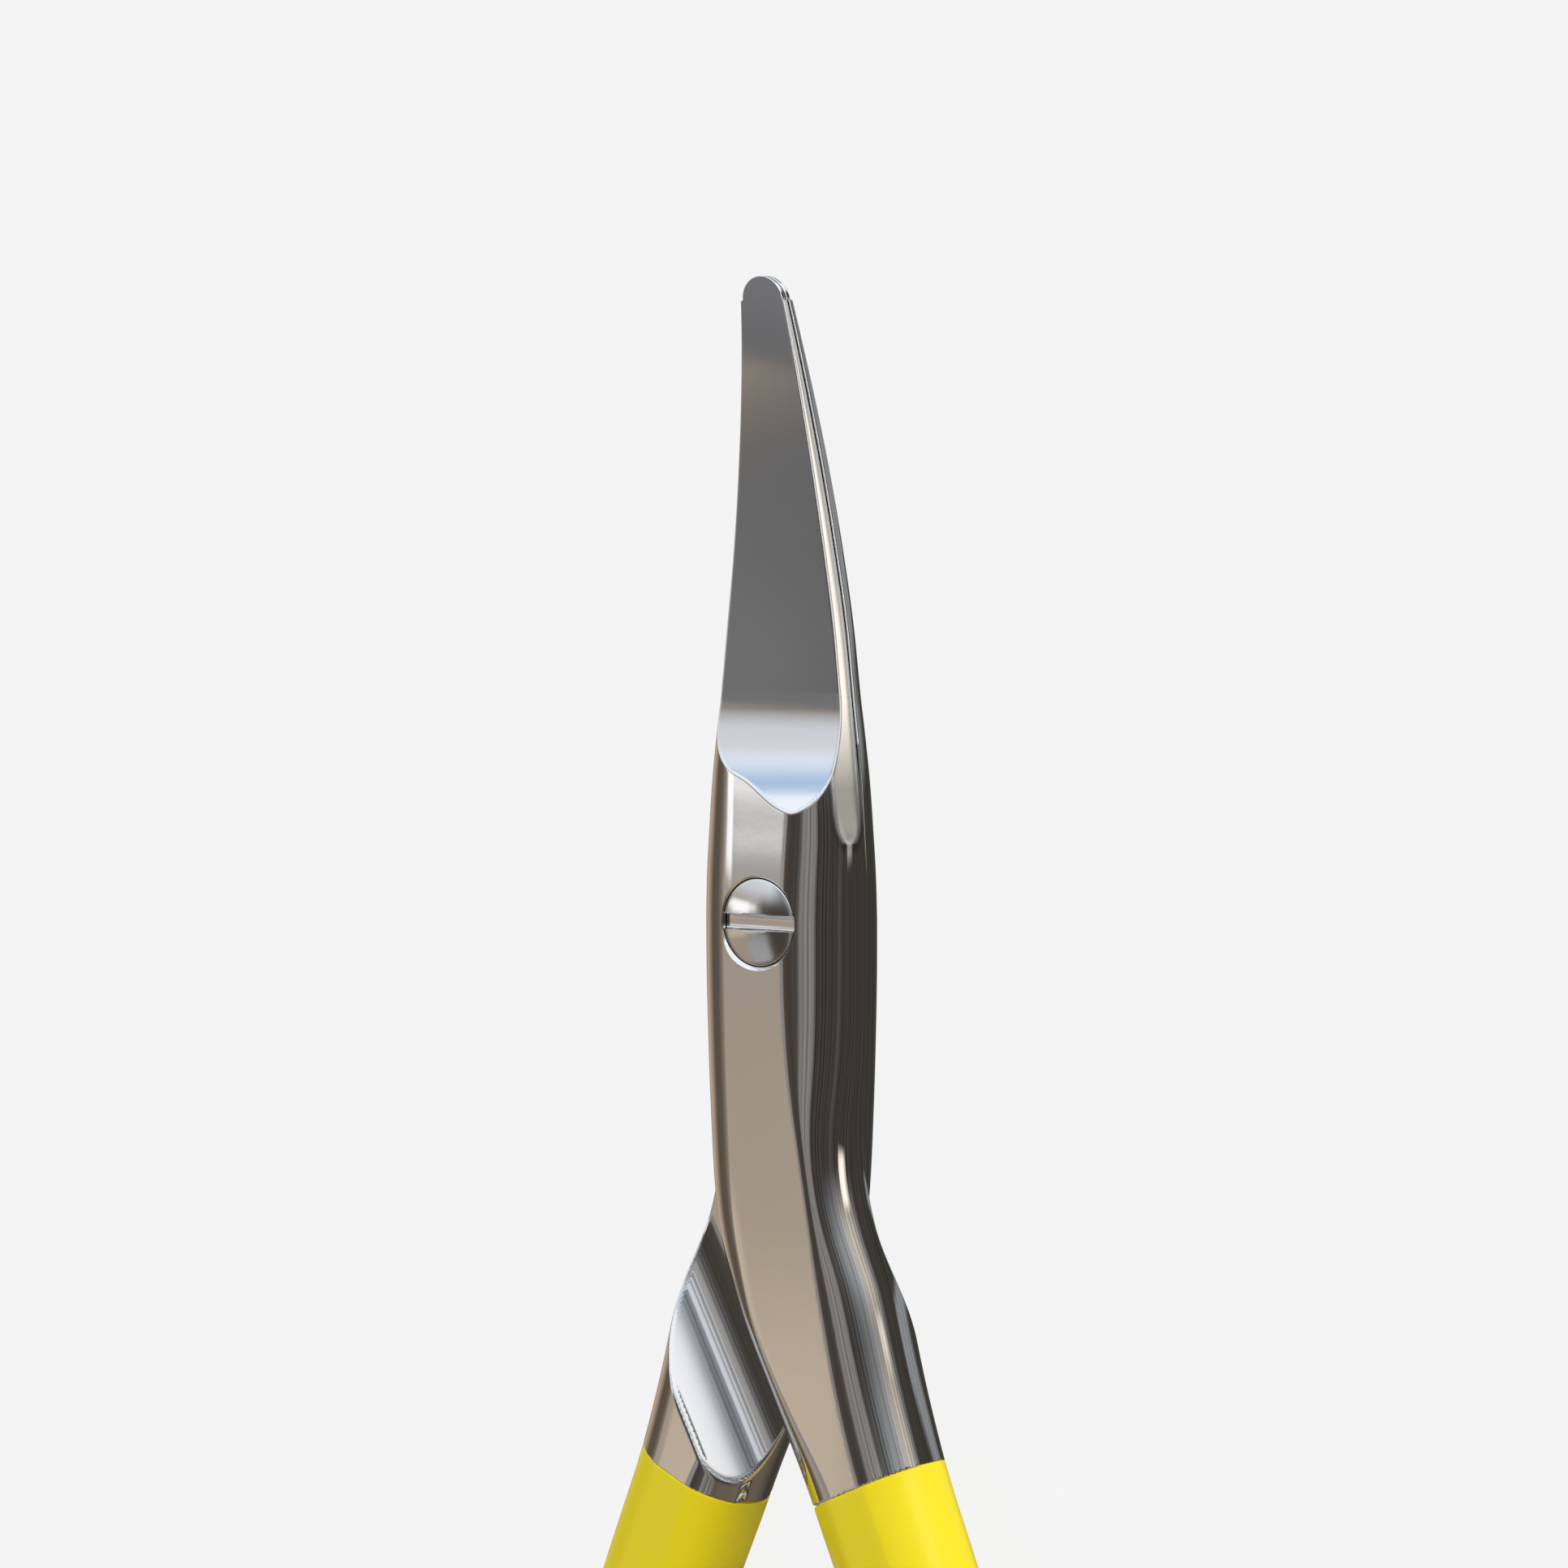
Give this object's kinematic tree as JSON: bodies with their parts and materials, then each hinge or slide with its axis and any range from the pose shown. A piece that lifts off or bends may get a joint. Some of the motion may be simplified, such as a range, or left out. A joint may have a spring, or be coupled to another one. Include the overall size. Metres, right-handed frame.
{
  "type": "thread snips",
  "caption": "Curved-blade thread snips: forged polished halves on a slotted pivot screw, bowed handles with a glossy vinyl coat and a coil return spring.",
  "frame": {"origin": "on the pivot axis, in the plane of the flat rear faces that the closed snips rest on", "axes": "+Y along the tool towards the blade tips, +Z along the pivot axis from the resting plane towards the screw head, +X towards the front half's handle"},
  "size_m": [0.0534, 0.1645, 0.0095],
  "materials": {
    "polished_steel": "mirror polished nickel plate",
    "screw_steel": "bright nickel plate",
    "washer_steel": "satin spring steel",
    "yellow_vinyl": "glossy dipped vinyl",
    "spring_steel": "bright drawn wire",
    "stud_steel": "turned and plated"
  },
  "bodies": {
    "back": {"back_blade_half": "polished_steel", "pivot_screw": "screw_steel", "pivot_nut": "screw_steel", "tension_washer": "washer_steel", "back_grip": "yellow_vinyl", "back_spring_stud": "stud_steel", "return_spring": "spring_steel"},
    "front": {"front_blade_half": "polished_steel", "front_grip": "yellow_vinyl", "front_spring_stud": "stud_steel"}
  },
  "joints": [
    {"name": "blade_pivot", "type": "hinge", "parent": "back", "child": "front", "pos_m": [0, 0, 0.0046], "axis": [0, 0, 1], "range_deg": [0, 20], "deforming": ["return_spring"]}
  ]
}
